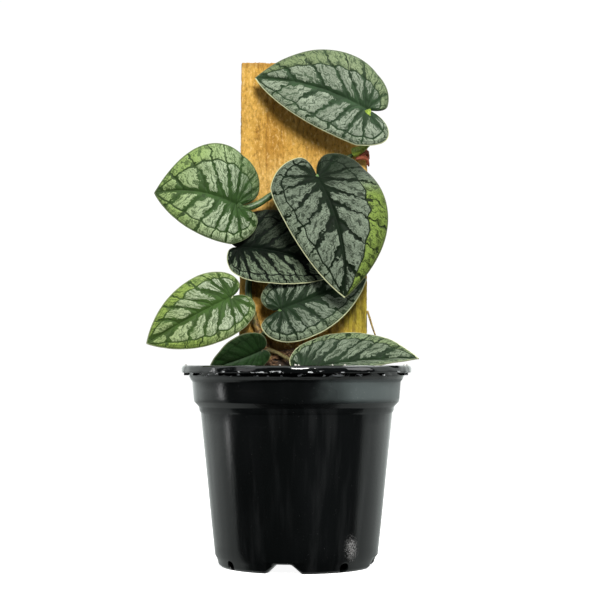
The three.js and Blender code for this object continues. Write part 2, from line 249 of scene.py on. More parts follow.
class PotSettings(bpy.types.PropertyGroup):
    """The nursery pot's finish and mouldings."""
    colour: FloatVectorProperty(
        name="Colour", description="Pot plastic", default=(0.0024, 0.0026, 0.0031), subtype="COLOR")
    lugs: IntProperty(name="Lugs", description="Small ribs under the rim", default=16, min=0, max=40)
    drain: FloatProperty(
        name="Drain hole", description="Radius of a corner hole", default=2.6 * MM, subtype="DISTANCE")


class PlankSettings(bpy.types.PropertyGroup):
    """The rough-sawn plank."""
    width: FloatProperty(
        name="Width", description="Plank width", default=67 * MM, subtype="DISTANCE")
    depth: FloatProperty(
        name="Thickness", description="Plank thickness", default=12 * MM, subtype="DISTANCE")
    length: FloatProperty(
        name="Length", description="Plank length", default=255.2 * MM, subtype="DISTANCE")
    lean: FloatProperty(
        name="Lean", description="Lean to the right", default=math.radians(0.35), subtype="ANGLE")


class StageSettings(bpy.types.PropertyGroup):
    """Camera and studio."""
    distance: FloatProperty(
        name="Distance", description="Camera to the pot's axis", default=0.865, subtype="DISTANCE")
    tilt: FloatProperty(
        name="Tilt", description="Camera tilt above level", default=math.radians(2.27), subtype="ANGLE")
    lens: FloatProperty(name="Lens", description="Focal length", default=99.0, unit="CAMERA")
    backdrop: FloatVectorProperty(
        name="Backdrop", description="Backdrop and floor", default=(0.93, 0.93, 0.93), subtype="COLOR")


SETTINGS = {
    "monstera_blades": BladeSettings,
    "monstera_pot": PotSettings,
    "monstera_plank": PlankSettings,
    "monstera_stage": StageSettings,
}


# ---------------------------------------------------------------- shader maths

class Wire:
    """An output socket of a node; arithmetic on it adds Math nodes."""

    def __init__(self, paint, socket):
        self.paint = paint
        self.socket = socket

    def math(self, operation, *values):
        return self.paint.node("ShaderNodeMath", {"operation": operation}, values)

    def __add__(self, other):
        return self.math("ADD", self, other)

    def __sub__(self, other):
        return self.math("SUBTRACT", self, other)

    def __rsub__(self, other):
        return self.math("SUBTRACT", other, self)

    def __mul__(self, other):
        return self.math("MULTIPLY", self, other)

    def __rtruediv__(self, other):
        return self.math("DIVIDE", other, self)

    def __pow__(self, other):
        return self.math("POWER", self, other)

    def __abs__(self):
        return self.math("ABSOLUTE", self)

    def __lt__(self, other):
        return self.math("LESS_THAN", self, other)

    def fraction(self):
        return self.math("FRACT", self)

    def at_most(self, other):
        return self.math("MINIMUM", self, other)

    __radd__ = __add__
    __rmul__ = __mul__


SOCKETS = {"ior": "IOR", "specular": "Specular IOR Level", "glow": "Emission Strength"}
MIX_FACTOR, MIX_FIRST, MIX_SECOND, MIX_RESULT = 0, 6, 7, 2


class Paint:
    """A procedural material under construction."""

    def __init__(self, name):
        self.material = bpy.data.materials.new(name)
        self.material.use_nodes = True
        self.tree = self.material.node_tree
        self.shader = self.tree.nodes["Principled BSDF"]

    def node(self, kind, settings, values, output=0):
        node = self.tree.nodes.new(kind)
        for key, value in settings.items():
            setattr(node, key, value)
        pairs = values.items() if isinstance(values, dict) else enumerate(values)
        for key, value in pairs:
            self.feed(node.inputs[key], value)
        return Wire(self, node.outputs[output])

    def feed(self, socket, value):
        if isinstance(value, Wire):
            self.tree.links.new(value.socket, socket)
        elif isinstance(value, tuple) and len(value) == 3 and socket.type == "RGBA":
            socket.default_value = (*value, 1.0)
        else:
            socket.default_value = value

    def ramp(self, value, low, high, start=0.0, end=1.0):
        """A smooth step from start to end as value goes from low to high."""
        values = {"Value": value, "From Min": low, "From Max": high, "To Min": start, "To Max": end}
        return self.node("ShaderNodeMapRange", {"interpolation_type": "SMOOTHSTEP"}, values)

    def mix(self, factor, first, second):
        values = {MIX_FACTOR: factor, MIX_FIRST: first, MIX_SECOND: second}
        return self.node("ShaderNodeMix", {"data_type": "RGBA"}, values, MIX_RESULT)

    def noise(self, vector, scale, detail, rough=0.5, distortion=0.0):
        values = {
            "Vector": vector, "Scale": scale, "Detail": detail, "Roughness": rough,
            "Distortion": distortion,
        }
        return self.node("ShaderNodeTexNoise", {}, values)

    def grain(self, stretch, detail, rough=0.5, distortion=0.0):
        """Noise on the object, with its own scale along each axis."""
        return self.noise(self.place(stretch), 1.0, detail, rough, distortion)

    def band(self, value, rise, fall):
        """1 between two smooth steps and 0 outside them."""
        return self.ramp(value, *rise) * self.ramp(value, *fall)

    def cracks(self, vector, scale):
        """Distance to the nearest cell wall of a cell pattern."""
        values = {"Vector": vector, "Scale": scale}
        return self.node("ShaderNodeTexVoronoi", {"feature": "DISTANCE_TO_EDGE"}, values)

    def join(self, x, y, z):
        return self.node("ShaderNodeCombineXYZ", {}, (x, y, z))

    def split(self, vector, axes):
        """The parts of a vector along the named axes."""
        return [self.node("ShaderNodeSeparateXYZ", {}, (vector,), axis) for axis in axes]

    def place(self, scale=(1, 1, 1)):
        """Object coordinates measured from the pot's axis, in metres, stretched by scale."""
        where = self.node("ShaderNodeTexCoord", {}, (), "Object")
        offset = tuple(-AXIS[i] * scale[i] for i in range(3))
        values = {"Vector": where, "Location": offset, "Scale": scale}
        return self.node("ShaderNodeMapping", {}, values)

    def attribute(self, name):
        return self.node("ShaderNodeAttribute", {"attribute_name": name}, (), "Fac")

    def bump(self, height, distance, strength):
        values = {"Strength": strength, "Distance": distance, "Height": height}
        return self.node("ShaderNodeBump", {}, values)

    def finish(self, colour, roughness, normal=None, **fixed):
        self.feed(self.shader.inputs["Base Color"], colour)
        self.feed(self.shader.inputs["Roughness"], roughness)
        if normal is not None:
            self.feed(self.shader.inputs["Normal"], normal)
        for key, value in fixed.items():
            self.shader.inputs[SOCKETS[key]].default_value = value
        return self.material


def shade(colour, factor):
    """The colour times a number."""
    return tuple(factor * c for c in colour)


# ---------------------------------------------------------------- shared modelling

def real(point):
    """A point given in millimetres from the pot's axis, as a place in the frame."""
    return AXIS + Vector(point) * MM


def active(obj):
    bpy.ops.object.select_all(action="DESELECT")
    obj.select_set(True)
    bpy.context.view_layer.objects.active = obj


def edit(obj, select="SELECT"):
    active(obj)
    bpy.ops.object.mode_set(mode="EDIT")
    bpy.ops.mesh.select_all(action=select)


def object_mode():
    bpy.ops.object.mode_set(mode="OBJECT")


def named(name):
    obj = bpy.context.object
    obj.name = name
    obj.data.name = name
    return obj


def settle(obj):
    """Puts the object's place in its mesh."""
    active(obj)
    bpy.ops.object.transform_apply(location=True, rotation=True, scale=True)


def clean(obj, distance=1e-6, outward=True):
    edit(obj)
    bpy.ops.mesh.remove_doubles(threshold=distance)
    bpy.ops.mesh.dissolve_degenerate(threshold=1e-8)
    if outward:
        bpy.ops.mesh.select_all(action="SELECT")
        bpy.ops.mesh.normals_make_consistent(inside=False)
    object_mode()


def modify(obj, kind, **settings):
    active(obj)
    modifier = obj.modifiers.new(kind.title(), kind)
    for key, value in settings.items():
        setattr(modifier, key, value)
    bpy.ops.object.modifier_apply(modifier=modifier.name)


def smooth(obj, angle=None):
    active(obj)
    if angle is None:
        bpy.ops.object.shade_smooth()
    else:
        bpy.ops.object.shade_smooth_by_angle(angle=math.radians(angle))


def hand_over(obj, slot, nodes, material):
    """Gives a finished piece its material, its body and the CAD nodes it stands for."""
    obj.data.materials.append(material)
    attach(obj, "root")
    if nodes:
        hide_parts(*nodes)


def joined(parts):
    """Joins the parts into the first of them."""
    active(parts[0])
    for part in parts:
        part.select_set(True)
    if len(parts) > 1:
        bpy.ops.object.join()
    return parts[0]


def coordinates(mesh):
    values = np.zeros(len(mesh.vertices) * 3)
    mesh.vertices.foreach_get("co", values)
    return values.reshape(-1, 3)


def set_coordinates(mesh, values):
    mesh.vertices.foreach_set("co", np.ascontiguousarray(values, dtype=np.float64).ravel())
    mesh.update()


def smooth_path(points, count):
    """Evenly spaced points on a smooth curve (centripetal) through the given ones."""
    points = np.array(points, float)
    ends = [2 * points[0] - points[1], *points, 2 * points[-1] - points[-2]]
    knots = [np.array(p) for p in ends]
    curve = []
    for a, b, c, d in zip(knots, knots[1:], knots[2:], knots[3:]):
        ta, tb = 0.0, np.linalg.norm(b - a) ** 0.5
        tc = tb + np.linalg.norm(c - b) ** 0.5
        td = tc + np.linalg.norm(d - c) ** 0.5
        for t in np.linspace(tb, tc, 24, endpoint=False):
            ab = (tb - t) / (tb - ta) * a + (t - ta) / (tb - ta) * b
            bc = (tc - t) / (tc - tb) * b + (t - tb) / (tc - tb) * c
            cd = (td - t) / (td - tc) * c + (t - tc) / (td - tc) * d
            abc = (tc - t) / (tc - ta) * ab + (t - ta) / (tc - ta) * bc
            bcd = (td - t) / (td - tb) * bc + (t - tb) / (td - tb) * cd
            curve.append((tc - t) / (tc - tb) * abc + (t - tb) / (tc - tb) * bcd)
    curve = np.array([*curve, points[-1]])
    steps = np.concatenate([[0], np.cumsum(np.linalg.norm(np.diff(curve, axis=0), axis=1))])
    wanted = np.linspace(0, steps[-1], count)
    return np.stack([np.interp(wanted, steps, curve[:, i]) for i in range(3)], axis=1)


def tube(name, points, radii):
    """A closed round tube along the points, with its own radius at each."""
    bpy.ops.curve.primitive_bezier_curve_add(location=(0, 0, 0))
    curve = bpy.context.object.data
    spline = curve.splines[0]
    spline.bezier_points.add(len(points) - 2)
    for knot, point, radius in zip(spline.bezier_points, points, radii):
        knot.co = real(point)
        knot.handle_left_type = knot.handle_right_type = "AUTO"
        knot.radius = radius
        knot.tilt = 0
    curve.dimensions = "3D"
    curve.bevel_depth = MM
    curve.bevel_resolution = 4
    curve.resolution_u = 3
    curve.use_fill_caps = True
    bpy.ops.object.convert(target="MESH")
    obj = named(name)
    clean(obj)
    smooth(obj, 60)
    return obj


# ---------------------------------------------------------------- pot

def arch_lift(angle):
    """How far an angle is into one of the foot's four arches, from 0 to 1."""
    quarter = math.pi / 2
    off = abs(angle - ARCH_ANGLE - quarter * round((angle - ARCH_ANGLE) / quarter))
    return min(1.0, max(0.0, (ARCH_FOOT - off) / (ARCH_FOOT - ARCH_FLAT)))


def turn_profile(name, outside, inside, sides):
    """Turns a profile round the pot's axis: a closed disc drawn up and over into a wall."""
    radius, height = outside[0]
    start = real((0, 0, height))
    bpy.ops.mesh.primitive_circle_add(
        vertices=sides, radius=radius * MM, fill_type="TRIFAN", location=start)
    obj = named(name)
    settle(obj)
    edit(obj, "DESELECT")
    bpy.ops.mesh.select_mode(type="EDGE")
    bpy.ops.mesh.select_non_manifold()
    for step_radius, step_height in [*outside[1:], *inside]:
        rise = (step_height - height) * MM
        bpy.ops.mesh.extrude_edges_move(TRANSFORM_OT_translate={"value": (0, 0, rise)})
        scale = step_radius / radius
        bpy.ops.transform.resize(value=(scale, scale, 1), center_override=AXIS)
        radius, height = step_radius, step_height
    bpy.ops.mesh.extrude_edges_move(TRANSFORM_OT_translate={"value": (0, 0, 0)})
    bpy.ops.mesh.merge(type="CENTER")
    object_mode()
    clean(obj)
    return obj


def refined(profile, longest):
    """The profile with extra points, so that no step is longer than the given length."""
    points = [profile[0]]
    for (r0, z0), (r1, z1) in zip(profile, profile[1:]):
        wide, tall = r1 - r0, z1 - z0
        count = max(1, math.ceil(math.hypot(wide, tall) / longest))
        points += [(r0 + wide * i / count, z0 + tall * i / count) for i in range(1, count + 1)]
    return points


def shape_pot(obj):
    """Lifts the foot ring into arches and gives the moulded wall its faint unevenness."""
    values = coordinates(obj.data)
    for point in values:
        x, y, z = (Vector(point) - AXIS) / MM
        radius = math.hypot(x, y)
        angle = math.atan2(x, -y)
        above = z > POT_FLOOR + 0.3 or radius < 40.55 and 0.85 < z < 4.9
        inner = z > 0.5 and radius < FOOT_OUT and above
        target = POT_FLOOR + POT_WALL if inner else POT_FLOOR
        if z < target and radius > FOOT_IN:
            z += arch_lift(angle) * (target - z)
        if radius > FOOT_OUT:
            fade = min(1.0, max(0.0, (z - 3) / 20)) * min(1.0, max(0.0, (99 - z) / 12))
            wave = noise.noise(Vector((2.1 * math.sin(angle), 2.1 * math.cos(angle), z / 160)))
            flute = noise.noise(Vector((7 * math.sin(angle), 7 * math.cos(angle), 5 + z / 400)))
            swell = 1 + fade * (0.30 * wave + 0.09 * flute) / radius
            x, y = x * swell, y * swell
        point[:] = AXIS + Vector((x, y, z)) * MM
    set_coordinates(obj.data, values)


def spoke(angle):
    """The level direction away from the pot's axis, at an angle from the front."""
    return Vector((math.sin(angle), -math.cos(angle), 0))


def drain_cutters(radius):
    """Cylinders through the corner between wall and floor, between the arches."""
    for quarter in range(4):
        out = spoke(ARCH_ANGLE + (quarter + 0.5) * math.pi / 2)
        bpy.ops.mesh.primitive_cylinder_add(vertices=40, radius=radius, depth=DRAIN_DEPTH * MM)
        cutter = bpy.context.object
        slope = (out - Vector((0, 0, 1))).normalized().to_track_quat("Z", "Y")
        middle = real(out * DRAIN_RADIUS + Vector((0, 0, DRAIN_HEIGHT)))
        cutter.matrix_world = Matrix.Translation(middle) @ slope.to_matrix().to_4x4()
        settle(cutter)
        yield cutter


def rim_lugs(count):
    """Small upright ribs round the rim, under its lip."""
    for i in range(count):
        angle = LUG_START + math.tau * i / count
        bpy.ops.mesh.primitive_cube_add(size=1)
        lug = bpy.context.object
        lug.scale = Vector(LUG_SIZE) * MM
        lug.rotation_euler = (0, 0, angle)
        lug.location = real(spoke(angle) * LUG_RADIUS + Vector((0, 0, LUG_HEIGHT)))
        settle(lug)
        modify(lug, "BEVEL", width=0.25 * MM, segments=2, limit_method="NONE")
        yield lug


def combine(obj, others, operation):
    """Joins the others and adds them to the piece or cuts them out of it."""
    tool = joined(list(others))
    modify(obj, "BOOLEAN", object=tool, operation=operation, solver="EXACT")
    bpy.data.objects.remove(tool)


# Heights of the collar's dust and painted sheen and of the painted glints under the lip,
# and the scuff's place, in metres.
COLLAR = ((0.084, 0.088), (0.098, 0.096))
GLINT_BAND = ((0.0982, 0.0990), (0.1016, 0.1004))
SCUFF_X, SCUFF_Z = 0.0275, 0.012


def pot_plastic(colour):
    """Glossy black, painted sheen streaks, dust and painted sheen on the collar, painted glints under
    the lip, scuffed above one drain hole.
    """
    paint = Paint("pot plastic")
    where = paint.place()
    x, y, z = paint.split(where, "XYZ")
    haze = paint.grain((30, 30, 9), detail=5, rough=0.6)
    streak = paint.grain((110, 110, 7), detail=3, rough=0.6)
    dust = paint.noise(where, 1100, detail=2, rough=0.7)
    patch = paint.noise(where, 55, detail=3)
    # Dust and painted sheen: the collar's right side is painted lighter grey as a reflection, and dust
    # specks gather there.
    dust_and_sheen = paint.band(z, *COLLAR) * paint.ramp(x + 0.03 * (patch - 0.5), 0.004, 0.036) * 0.9 + 0.03
    specks = paint.ramp(dust, 0.69, 0.75) * (0.03 + 0.8 * dust_and_sheen) * paint.ramp(patch, 0.42, 0.56)
    scuff = paint.grain((2100, 2100, 1500), detail=3, rough=0.6)
    away = ((x - SCUFF_X) ** 2 + ((z - SCUFF_Z) * 0.5) ** 2) ** 0.5
    spot = paint.ramp(away, 0.0046, 0.0010)
    scuffs = paint.ramp(scuff + 0.12 * spot, 0.56, 0.66) * spot * (y < 0)
    base = paint.mix(paint.ramp(haze, 0.40, 0.60), shade(colour, 0.15), shade(colour, 0.7))
    # Painted sheen: soft vertical streaks of reflection painted on the body.
    sheen = paint.ramp(streak, 0.46, 0.66) * paint.ramp(haze, 0.30, 0.55) * paint.ramp(z, 0.086, 0.080)
    with_sheen = paint.mix(sheen, base, (0.0085, 0.0090, 0.0095))
    # Painted reflection: the collar's right side turned lighter grey.
    collar_sheen = paint.mix(dust_and_sheen, with_sheen, (0.085, 0.105, 0.105))
    dusty = paint.mix(specks.at_most(0.7), collar_sheen, (0.40, 0.41, 0.40))
    worn = paint.mix(scuffs * 0.7, dusty, (0.36, 0.36, 0.36))
    lip = paint.ramp(z, 0.0965, 0.0995)
    # Painted glints: white spots under the lip that stand in for reflections.
    glint_noise = paint.grain((200, 200, 460), detail=3)
    painted_glints = paint.ramp(glint_noise, 0.58, 0.63) * paint.band(z, *GLINT_BAND)
    glinting = paint.mix(painted_glints, worn, (0.80, 0.84, 0.86))
    gloss = (0.09 + 0.10 * haze + 0.04 * streak) * (1 - 0.5 * lip)
    rough = gloss + 0.28 * dust_and_sheen + 0.4 * specks + 0.3 * scuffs
    wavy = paint.grain((75, 75, 150), detail=1) * lip * 9
    fine = paint.noise(where, 900, detail=2) * 0.2 + paint.grain((70, 70, 22), detail=2)
    return paint.finish(glinting, rough, paint.bump(fine + wavy, 0.0004, 0.5), ior=1.50)


class MONSTERA_OT_pot(bpy.types.Operator):
    """Turn the nursery pot, lift its arches, drill its holes and add the ribs under the rim."""
    bl_idname = "monstera.pot"
    bl_label = "Nursery pot"

    def execute(self, context):
        settings = context.scene.monstera_pot
        outside, inside = refined(POT_OUTSIDE, 6.0), refined(POT_INSIDE, 8.0)
        obj = turn_profile("pot_body", outside, inside, POT_SIDES)
        shape_pot(obj)
        sharp = math.radians(24)
        modify(obj, "BEVEL", width=0.22 * MM, segments=2, limit_method="ANGLE", angle_limit=sharp)
        combine(obj, rim_lugs(settings.lugs), "UNION")
        combine(obj, drain_cutters(settings.drain), "DIFFERENCE")
        smooth(obj, 34)
        hand_over(obj, "pot_plastic", ["nursery_pot"], pot_plastic(tuple(settings.colour)))
        return {"FINISHED"}


# ---------------------------------------------------------------- potting mix

MIX_PROFILE = [
    (30, 6.5), (40.6, 6.5), (41.0, 7.6), (48.3, 79.2), (49.1, 81.4), (49.4, 83.6), (51.7, 86.2),
    (52.0, 87.4), (52.6, 93.2), (51.5, 94.8), (47, 95.4), (40, 95.7), (33, 96.4), (26, 97.4),
    (20, 99.0), (14, 101.2), (8, 103.2), (2, 103.8),
]
MIX_SIDES = 200
MIX_EDGE = 52.6
MIX_TOP = 93.3
HEAP = dict(x=-5, y=-1, rise=8, across=10, deep=5)
BARK_CHIPS, HEAP_CHIPS = 420, 70
GRAINS, RIM_GRAINS = 60, 16
RIM_RADIUS, RIM_TOP = 58.2, 104.1
PLANK_CLEAR = ((-34, -0.5), (41, 17))


def mix_height(x, y):
    """How high the mix stands at a place, before its lumps."""
    radius = math.hypot(x, y)
    top = [(r, z) for r, z in MIX_PROFILE if z > 94]
    radii, heights = zip(*reversed(top))
    spread = ((x - HEAP["x"]) / HEAP["across"]) ** 2 + ((y - HEAP["y"]) / HEAP["deep"]) ** 2
    return float(np.interp(radius, radii, heights)) + HEAP["rise"] * math.exp(-0.5 * spread)


def lumps(x, y):
    """The unevenness of the mix at a place."""
    coarse = noise.noise(Vector((x / 9, y / 9, 2)))
    fine = noise.noise(Vector((x / 2.6, y / 2.6, 5)))
    grit = noise.noise(Vector((x / 0.9, y / 0.9, 9)))
    return 0.7 * coarse + 0.5 * fine + 0.28 * grit


def mix_paint():
    paint = Paint("potting mix")
    where = paint.place()
    grain = paint.noise(where, 420, detail=6, rough=0.7)
    clump = paint.noise(where, 90, detail=3)
    dark = paint.mix(clump, (0.010, 0.006, 0.004), (0.040, 0.022, 0.011))
    light = paint.mix(paint.ramp(grain, 0.52, 0.72), dark, (0.12, 0.065, 0.028))
    normal = paint.bump(grain, 0.0012, 0.9)
    return paint.finish(light, 0.9, normal)


def bark_paint():
    paint = Paint("bark chips")
    where = paint.place()
    tint = paint.noise(where, 120, detail=1)
    grain = paint.grain((700, 700, 2400), detail=4, rough=0.6)
    base = paint.mix(paint.ramp(tint, 0.36, 0.64), (0.030, 0.013, 0.006), (0.17, 0.085, 0.035))
    colour = paint.mix(paint.ramp(grain, 0.40, 0.66), base, (0.21, 0.12, 0.06))
    return paint.finish(colour, 0.82, paint.bump(grain, 0.0004, 0.8))


def perlite_paint():
    paint = Paint("perlite")
    grain = paint.noise(paint.place(), 1500, detail=3)
    colour = paint.mix(grain, (0.52, 0.49, 0.43), (0.78, 0.76, 0.72))
    return paint.finish(colour, 0.85, paint.bump(grain, 0.0003, 0.7))


def chip_shape(rng, size, flat, cuts):
    """One broken chip: a cube cut finer, pulled out of true and bevelled."""
    bpy.ops.mesh.primitive_cube_add(size=1)
    obj = bpy.context.object
    edit(obj)
    bpy.ops.mesh.subdivide(number_cuts=cuts)
    object_mode()
    values = coordinates(obj.data)
    values *= np.array([size, size * rng.uniform(0.45, 0.8), size * flat]) * MM
    jitter = np.array([[rng.uniform(-1, 1) for _ in range(3)] for _ in values])
    corner = 1 - 0.22 * np.abs(jitter[:, :1])
    values = values * corner + jitter * size * 0.07 * MM
    set_coordinates(obj.data, values)
    return obj


def scatter(name, chips, rng, places, paint):
    """Copies of the chips, each with its own mesh and turn, laid at the places as one piece."""
    copies = []
    for x, y, z, size in places:
        source = rng.choice(chips)
        copy = source.copy()
        copy.data = source.data.copy()
        bpy.context.collection.objects.link(copy)
        turn = Matrix.Rotation(rng.uniform(0, math.tau), 4, "Z")
        tipped = rng.gauss(0, 0.45)
        hinge = (math.cos(rng.uniform(0, 6)), math.sin(rng.uniform(0, 6)), 0)
        tip = Matrix.Rotation(tipped, 4, hinge)
        place = Matrix.Translation(real((x, y, z)))
        copy.data.transform(place @ tip @ turn @ Matrix.Scale(size, 4))
        copies.append(copy)
    for chip in chips:
        bpy.data.objects.remove(chip)
    joined(copies)
    obj = named(name)
    smooth(obj, 30)
    hand_over(obj, "mix", [], paint)


def clear_spot(rng, inner, outer):
    """A random place on the mix, clear of the plank and the pot wall."""
    while True:
        radius = outer * math.sqrt(rng.uniform((inner / outer) ** 2, 1))
        angle = rng.uniform(0, math.tau)
        x, y = radius * math.cos(angle), radius * math.sin(angle)
        low, high = PLANK_CLEAR
        if not (low[0] < x < high[0] and low[1] < y < high[1]):
            return x, y


class MONSTERA_OT_mix(bpy.types.Operator):
    """Fill the pot with a low mound of mix, bark chips and a little perlite."""
    bl_idname = "monstera.mix"
    bl_label = "Potting mix"

    def execute(self, context):
        rng = random.Random(20)
        side, top = refined(MIX_PROFILE[:8], 20), refined(MIX_PROFILE[8:], 0.9)
        obj = turn_profile("potting_mix_body", side, top, MIX_SIDES)
        values = coordinates(obj.data)
        for point in values:
            x, y, z = (Vector(point) - AXIS) / MM
            if z > MIX_TOP:
                edge = min(1.0, (MIX_EDGE - math.hypot(x, y)) / 2)
                z = mix_height(x, y) + max(0.15, edge) * lumps(x, y)
                point[2] = AXIS.z + z * MM
        set_coordinates(obj.data, values)
        smooth(obj)
        hand_over(obj, "mix", ["potting_mix"], mix_paint())
        chips = [chip_shape(rng, rng.uniform(3.2, 6.4), rng.uniform(0.25, 0.45), 2) for _ in range(7)]
        places = []
        for _ in range(BARK_CHIPS):
            x, y = clear_spot(rng, 2, 49)
            places.append((x, y, mix_height(x, y) + rng.uniform(-0.4, 0.9), rng.uniform(0.5, 1.15)))
        for _ in range(HEAP_CHIPS):
            x, y = rng.gauss(-3, 8), rng.uniform(-7, 0)
            places.append((x, y, mix_height(x, y) + rng.uniform(-0.5, 1.2), rng.uniform(0.45, 0.95)))
        scatter("mix_bark_chips", chips, rng, places, bark_paint())
        grains = [chip_shape(rng, rng.uniform(1.6, 2.6), 0.8, 1) for _ in range(4)]
        places = []
        for _ in range(GRAINS):
            x, y = clear_spot(rng, 6, 50)
            places.append((x, y, mix_height(x, y) + rng.uniform(0.1, 0.7), rng.uniform(0.6, 1.2)))
        for _ in range(RIM_GRAINS):
            angle = rng.uniform(0, math.tau)
            x, y = RIM_RADIUS * math.cos(angle), RIM_RADIUS * math.sin(angle)
            places.append((x, y, RIM_TOP, rng.uniform(0.35, 0.5)))
        scatter("mix_perlite", grains, rng, places, perlite_paint())
        return {"FINISHED"}


# ---------------------------------------------------------------- plank

# Passes of cuts across each direction, one pass cutting the last one's pieces again.
BOARD_CUTS = (((0, 0, 1), (19, 14)), ((1, 0, 0), (9, 9)), ((0, 1, 0), (15,)))


def saw_marks(x, y, z):
    """Depth of the rough-sawn face in millimetres: long fibres, torn grain and fine fuzz."""
    fibre = noise.noise(Vector((x / 1.9, y / 1.9, z / 34)))
    wide = noise.noise(Vector((x / 6.5, y / 6.5, z / 90 + 7)))
    torn = noise.noise(Vector((x / 1.5, y / 1.5, z / 2.3 + 3)))
    kerf = noise.noise(Vector((x / 40, y / 40, z / 1.7 + 11)))
    return 0.34 * fibre + 0.18 * wide + 0.9 * min(0.1, torn) + 0.10 * kerf


def ring_cuts(obj, direction, cuts):
    """Cuts a box finer across the given direction only."""
    edit(obj, "DESELECT")
    bpy.ops.mesh.select_mode(type="EDGE")
    mesh = bmesh.from_edit_mesh(obj.data)
    for edge in mesh.edges:
        line = (edge.verts[0].co - edge.verts[1].co).normalized()
        edge.select_set(abs(line.dot(direction)) > 0.99)
    bmesh.update_edit_mesh(obj.data)
    bpy.ops.mesh.subdivide(number_cuts=cuts, quadcorner="INNERVERT")
    object_mode()


def plank_wood():
    paint = Paint("rough sawn wood")
    where = paint.place()
    x, z = paint.split(where, "XZ")
    warp = paint.grain((22, 22, 5), detail=2)
    bands = paint.grain((75, 75, 2.6), detail=3, rough=0.55, distortion=0.4)
    fibre = paint.grain((480, 480, 60), detail=5, rough=0.7)
    torn = paint.grain((760, 760, 380), detail=5, rough=0.75)
    blotch = paint.noise(where, 42, detail=3)
    gold = paint.mix(paint.ramp(bands, 0.30, 0.70), (0.60, 0.325, 0.052), (0.88, 0.54, 0.120))
    tone = paint.mix(paint.ramp(warp, 0.35, 0.65) * 0.6, gold, (0.46, 0.215, 0.033))
    # Painted light: a paler band across the middle, where the lamps light the plank between the blades.
    painted_light = paint.ramp(abs(z - 0.205 + 0.02 * warp), 0.026, 0.008)
    lit_tone = paint.mix(painted_light * 0.40, tone, (1.0, 0.67, 0.21))
    lined = paint.mix(paint.ramp(fibre, 0.54, 0.68) * 0.7, lit_tone, (0.26, 0.11, 0.016))
    light = paint.mix(paint.ramp(fibre, 0.46, 0.32) * 0.55, lined, (0.98, 0.64, 0.20))
    pits = paint.mix(paint.ramp(torn, 0.51, 0.64) * (0.22 + 0.5 * blotch), light, (0.16, 0.065, 0.010))
    chalk = paint.mix(paint.ramp(torn, 0.46, 0.36) * 0.55, pits, (1.0, 0.74, 0.32))
    right = paint.ramp(x + 0.05 * (warp + blotch - 1), 0.004, 0.040)
    # Olive and yellow-green towards the lower right, mixed along the fibres.
    greener_low_right = paint.ramp(z + 0.05 * (blotch - 0.5), 0.172, 0.138) * right
    olive_green = paint.mix(paint.ramp(fibre, 0.40, 0.60), (0.085, 0.10, 0.004), (0.44, 0.40, 0.035))
    green = paint.mix(greener_low_right * 0.78, chalk, olive_green)
    # Painted shade: darker towards the foot on the left, under the low blades.
    painted_foot_shade = paint.ramp(z + 0.012 * blotch, 0.136, 0.112) * paint.ramp(x, 0.022, 0.004)
    shaded_foot = paint.mix(painted_foot_shade * 0.86, green, (0.050, 0.026, 0.010))
    top = paint.mix(paint.ramp(z, 0.2605, 0.2630) * 0.45, shaded_foot, (0.30, 0.14, 0.03))
    height = 0.5 * fibre + 0.9 * torn
    return paint.finish(top, 0.78, paint.bump(height, 0.0017, 1.0), specular=0.2)


class MONSTERA_OT_plank(bpy.types.Operator):
    """Saw the plank: a bevelled board cut fine, roughened along its grain and stood in the mix."""
    bl_idname = "monstera.plank"
    bl_label = "Sawn plank"

    def execute(self, context):
        settings = context.scene.monstera_plank
        low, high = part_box("wood_plank")
        bpy.ops.mesh.primitive_cube_add(size=1)
        obj = named("sawn_plank")
        obj.scale = (settings.width - 0.2 * MM, settings.depth - 0.5 * MM, settings.length + 0.6 * MM)
        settle(obj)
        modify(obj, "BEVEL", width=0.9 * MM, segments=3, limit_method="NONE")
        for direction, passes in BOARD_CUTS:
            for cuts in passes:
                ring_cuts(obj, Vector(direction), cuts)
        half = Vector((settings.width, settings.depth, settings.length)) / 2
        values = coordinates(obj.data)
        for point in values:
            x, y, z = point
            depth = saw_marks(x / MM, y / MM, z / MM) * MM
            out = Vector((x / half.x, y / half.y, z / half.z))
            out = Vector([math.copysign(max(0.0, abs(v) - 0.9) * 10, v) for v in out])
            point += np.array(out.normalized() if out.length else out) * depth
        set_coordinates(obj.data, values)
        lean = Matrix.Rotation(settings.lean, 4, "Y")
        middle = (low + high) / 2 + Vector((-0.4, 0, 0.5)) * MM
        obj.data.transform(Matrix.Translation(middle) @ lean)
        smooth(obj, 50)
        hand_over(obj, "sawn_wood", ["wood_plank"], plank_wood())
        return {"FINISHED"}


# ---------------------------------------------------------------- stem, stalks and roots

def stem_paint():
    paint = Paint("climbing stem")
    where = paint.place()
    z = paint.split(where, "Z")[0]
    streak = paint.grain((900, 900, 120), detail=3)
    spot = paint.noise(where, 700, detail=2)
    green = paint.mix(paint.ramp(streak, 0.38, 0.64), (0.020, 0.055, 0.014), (0.070, 0.13, 0.032))
    bark = paint.mix(paint.ramp(spot, 0.40, 0.62), (0.085, 0.038, 0.010), (0.33, 0.19, 0.045))
    age = paint.ramp(z + 0.02 * streak, 0.150, 0.128)
    colour = paint.mix(age, green, bark)
    return paint.finish(colour, 0.55, paint.bump(streak * 0.7 + spot, 0.0004, 0.6))


